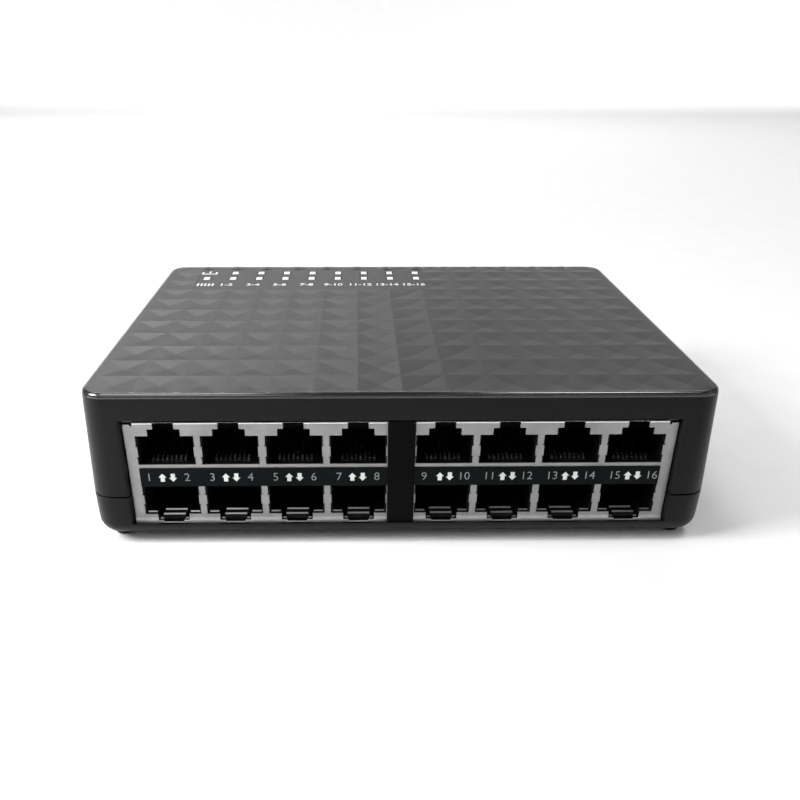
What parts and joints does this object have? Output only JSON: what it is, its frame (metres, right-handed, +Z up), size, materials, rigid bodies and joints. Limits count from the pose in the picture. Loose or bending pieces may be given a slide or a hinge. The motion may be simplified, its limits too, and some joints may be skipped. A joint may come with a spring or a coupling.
{
  "type": "desktop network switch",
  "caption": "Low black plastic box with a pyramid-relief top, ganged blocks of shielded RJ45 sockets on its front, a numbered strip between the rows, top lamps and a rear DC socket.",
  "frame": {"origin": "centre of the footprint, on the surface that the feet stand on", "axes": "+X to the right along the port rows, +Y to the rear, +Z up"},
  "size_m": [0.1382, 0.1044, 0.037],
  "materials": {
    "case_plastic": "satin, lightly textured",
    "shield_steel": "tin plated, satin",
    "insulator": "moulded, semi-gloss",
    "contact": "gold plated, bright",
    "label_strip": "printed film, satin",
    "lens": "milky translucent",
    "board": "solder mask",
    "chip": "moulded epoxy",
    "aluminium": "satin",
    "steel": "zinc plated",
    "rubber": "matt",
    "paper": "satin film"
  },
  "bodies": {
    "case_body": {"bottom_cover": "case_plastic", "capacitor_1": "aluminium", "capacitor_2": "aluminium", "capacitor_3": "aluminium", "case_screw_front_left": "steel", "case_screw_front_right": "steel", "case_screw_rear_left": "steel", "case_screw_rear_right": "steel", "circuit_board": "board", "crystal": "steel", "dc_jack_body": "insulator", "dc_jack_pin": "steel", "heat_sink": "aluminium", "jack_housing_1": "insulator", "jack_housing_2": "insulator", "jack_housing_3": "insulator", "jack_housing_4": "insulator", "jack_housing_5": "insulator", "jack_housing_6": "insulator", "jack_housing_7": "insulator", "jack_housing_8": "insulator", "jack_shield_left": "shield_steel", "jack_shield_right": "shield_steel", "light_guide": "lens", "port_label_left": "label_strip", "port_label_right": "label_strip", "power_inductor": "chip", "rating_label": "paper", "rectifier_diode": "chip", "regulator_chip": "chip", "rubber_foot_front_left": "rubber", "rubber_foot_front_right": "rubber", "rubber_foot_rear_left": "rubber", "rubber_foot_rear_right": "rubber", "switch_chip": "chip", "top_cover": "case_plastic", "transformer_1": "chip", "transformer_2": "chip", "transformer_3": "chip", "transformer_4": "chip"},
    "contacts_01": {"contact_comb_01": "contact"},
    "contacts_02": {"contact_comb_02": "contact"},
    "contacts_03": {"contact_comb_03": "contact"},
    "contacts_04": {"contact_comb_04": "contact"},
    "contacts_05": {"contact_comb_05": "contact"},
    "contacts_06": {"contact_comb_06": "contact"},
    "contacts_07": {"contact_comb_07": "contact"},
    "contacts_08": {"contact_comb_08": "contact"},
    "contacts_09": {"contact_comb_09": "contact"},
    "contacts_10": {"contact_comb_10": "contact"},
    "contacts_11": {"contact_comb_11": "contact"},
    "contacts_12": {"contact_comb_12": "contact"},
    "contacts_13": {"contact_comb_13": "contact"},
    "contacts_14": {"contact_comb_14": "contact"},
    "contacts_15": {"contact_comb_15": "contact"},
    "contacts_16": {"contact_comb_16": "contact"},
    "dc_leaf": {"dc_jack_spring": "contact"}
  },
  "joints": [
    {"name": "contacts_01_bend", "type": "hinge", "parent": "case_body", "child": "contacts_01", "pos_m": [-0.05133, -0.0479, 0.0188], "axis": [-1, 0, 0], "range_deg": [0, 8], "stiffness_Nm_per_rad": 0.3},
    {"name": "contacts_02_bend", "type": "hinge", "parent": "case_body", "child": "contacts_02", "pos_m": [-0.05133, -0.0479, 0.01522], "axis": [1, 0, 0], "range_deg": [0, 8], "stiffness_Nm_per_rad": 0.3},
    {"name": "contacts_03_bend", "type": "hinge", "parent": "case_body", "child": "contacts_03", "pos_m": [-0.03735, -0.0479, 0.0188], "axis": [-1, 0, 0], "range_deg": [0, 8], "stiffness_Nm_per_rad": 0.3},
    {"name": "contacts_04_bend", "type": "hinge", "parent": "case_body", "child": "contacts_04", "pos_m": [-0.03735, -0.0479, 0.01522], "axis": [1, 0, 0], "range_deg": [0, 8], "stiffness_Nm_per_rad": 0.3},
    {"name": "contacts_05_bend", "type": "hinge", "parent": "case_body", "child": "contacts_05", "pos_m": [-0.02338, -0.0479, 0.0188], "axis": [-1, 0, 0], "range_deg": [0, 8], "stiffness_Nm_per_rad": 0.3},
    {"name": "contacts_06_bend", "type": "hinge", "parent": "case_body", "child": "contacts_06", "pos_m": [-0.02338, -0.0479, 0.01522], "axis": [1, 0, 0], "range_deg": [0, 8], "stiffness_Nm_per_rad": 0.3},
    {"name": "contacts_07_bend", "type": "hinge", "parent": "case_body", "child": "contacts_07", "pos_m": [-0.00941, -0.0479, 0.0188], "axis": [-1, 0, 0], "range_deg": [0, 8], "stiffness_Nm_per_rad": 0.3},
    {"name": "contacts_08_bend", "type": "hinge", "parent": "case_body", "child": "contacts_08", "pos_m": [-0.00941, -0.0479, 0.01522], "axis": [1, 0, 0], "range_deg": [0, 8], "stiffness_Nm_per_rad": 0.3},
    {"name": "contacts_09_bend", "type": "hinge", "parent": "case_body", "child": "contacts_09", "pos_m": [0.00941, -0.0479, 0.0188], "axis": [-1, 0, 0], "range_deg": [0, 8], "stiffness_Nm_per_rad": 0.3},
    {"name": "contacts_10_bend", "type": "hinge", "parent": "case_body", "child": "contacts_10", "pos_m": [0.00941, -0.0479, 0.01522], "axis": [1, 0, 0], "range_deg": [0, 8], "stiffness_Nm_per_rad": 0.3},
    {"name": "contacts_11_bend", "type": "hinge", "parent": "case_body", "child": "contacts_11", "pos_m": [0.02338, -0.0479, 0.0188], "axis": [-1, 0, 0], "range_deg": [0, 8], "stiffness_Nm_per_rad": 0.3},
    {"name": "contacts_12_bend", "type": "hinge", "parent": "case_body", "child": "contacts_12", "pos_m": [0.02338, -0.0479, 0.01522], "axis": [1, 0, 0], "range_deg": [0, 8], "stiffness_Nm_per_rad": 0.3},
    {"name": "contacts_13_bend", "type": "hinge", "parent": "case_body", "child": "contacts_13", "pos_m": [0.03735, -0.0479, 0.0188], "axis": [-1, 0, 0], "range_deg": [0, 8], "stiffness_Nm_per_rad": 0.3},
    {"name": "contacts_14_bend", "type": "hinge", "parent": "case_body", "child": "contacts_14", "pos_m": [0.03735, -0.0479, 0.01522], "axis": [1, 0, 0], "range_deg": [0, 8], "stiffness_Nm_per_rad": 0.3},
    {"name": "contacts_15_bend", "type": "hinge", "parent": "case_body", "child": "contacts_15", "pos_m": [0.05133, -0.0479, 0.0188], "axis": [-1, 0, 0], "range_deg": [0, 8], "stiffness_Nm_per_rad": 0.3},
    {"name": "contacts_16_bend", "type": "hinge", "parent": "case_body", "child": "contacts_16", "pos_m": [0.05133, -0.0479, 0.01522], "axis": [1, 0, 0], "range_deg": [0, 8], "stiffness_Nm_per_rad": 0.3},
    {"name": "dc_leaf_bend", "type": "hinge", "parent": "case_body", "child": "dc_leaf", "pos_m": [0.044, 0.0401, 0.0064], "axis": [-1, 0, 0], "range_deg": [0, 7], "stiffness_Nm_per_rad": 0.4}
  ]
}
